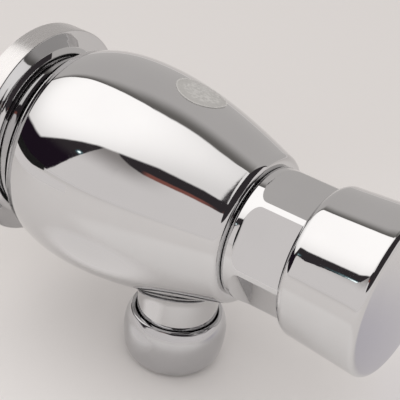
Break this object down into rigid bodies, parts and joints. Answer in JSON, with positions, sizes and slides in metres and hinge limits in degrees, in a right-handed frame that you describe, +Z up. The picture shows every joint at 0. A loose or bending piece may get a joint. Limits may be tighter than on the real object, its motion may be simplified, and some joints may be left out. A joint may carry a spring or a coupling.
{
  "type": "urinal flush valve",
  "caption": "Exposed self-closing push-button urinal flush valve: wall flange, egg-shaped chromed body, bonnet with wrench flats, flared button and coupling nut on a bottom outlet.",
  "frame": {"origin": "on the inlet thread's axis, in the plane of the finished wall", "axes": "+Y into the wall along the inlet thread, -Y out towards the push button, +Z up, -Z down along the outlet; the wall is the plane y = 0"},
  "size_m": [0.0608, 0.136, 0.0831],
  "materials": {
    "chrome": "mirror",
    "chrome_satin": "mirror face, satin rim",
    "brass": "machined",
    "steel": "drawn and turned",
    "pom": "moulded, matt",
    "grey_plastic": "moulded, matt",
    "rubber": "matt",
    "foam": "matt, closed cells",
    "clear_film": "clear, glossy"
  },
  "bodies": {
    "valve": {"valve_body": "chrome", "inlet_nipple": "brass", "inlet_strainer": "steel", "flow_restrictor": "pom", "inlet_washer": "rubber", "valve_seat": "brass", "seat_ring": "rubber", "cartridge_sleeve": "pom", "bleed_jet": "brass", "bonnet": "chrome", "bonnet_ring": "rubber", "rod_bush": "pom", "rod_ring": "rubber", "backflow_sleeve": "grey_plastic", "clear_sticker": "clear_film", "grip_ring": "rubber", "return_spring": "steel"},
    "button": {"push_button": "chrome", "button_insert": "grey_plastic", "lock_nut": "steel", "push_rod": "steel", "piston": "pom", "piston_cup": "rubber", "piston_clip": "steel", "main_seal": "rubber", "seal_holder": "brass", "seal_nut": "brass"},
    "flange": {"wall_flange": "chrome_satin", "flange_gasket": "foam"},
    "outlet_washers": {"slip_ring": "brass", "cone_washer": "rubber"},
    "outlet_coupling": {"outlet_nut": "chrome"}
  },
  "joints": [
    {"name": "button_press", "type": "slide", "parent": "valve", "child": "button", "axis": [0, 1, 0], "range_m": [0, 0.005], "stiffness_N_per_m": 1000, "springref_m": -0.008, "deforming": ["return_spring"]},
    {"name": "flange_slide", "type": "slide", "parent": "valve", "child": "flange", "axis": [0, -1, 0], "range_m": [0, 0.0018]},
    {"name": "outlet_nut_travel", "type": "slide", "parent": "valve", "child": "outlet_washers", "axis": [0, 0, -1], "range_m": [0, 0.0091]},
    {"name": "outlet_nut_turn", "type": "hinge", "parent": "outlet_washers", "child": "outlet_coupling", "pos_m": [0, -0.056, -0.045], "axis": [0, 0, -1], "range_deg": [0, 1800]}
  ],
  "couplings": [
    {"joint": "outlet_nut_travel", "follows": "outlet_nut_turn", "m_per_rad": 0.0002887}
  ]
}
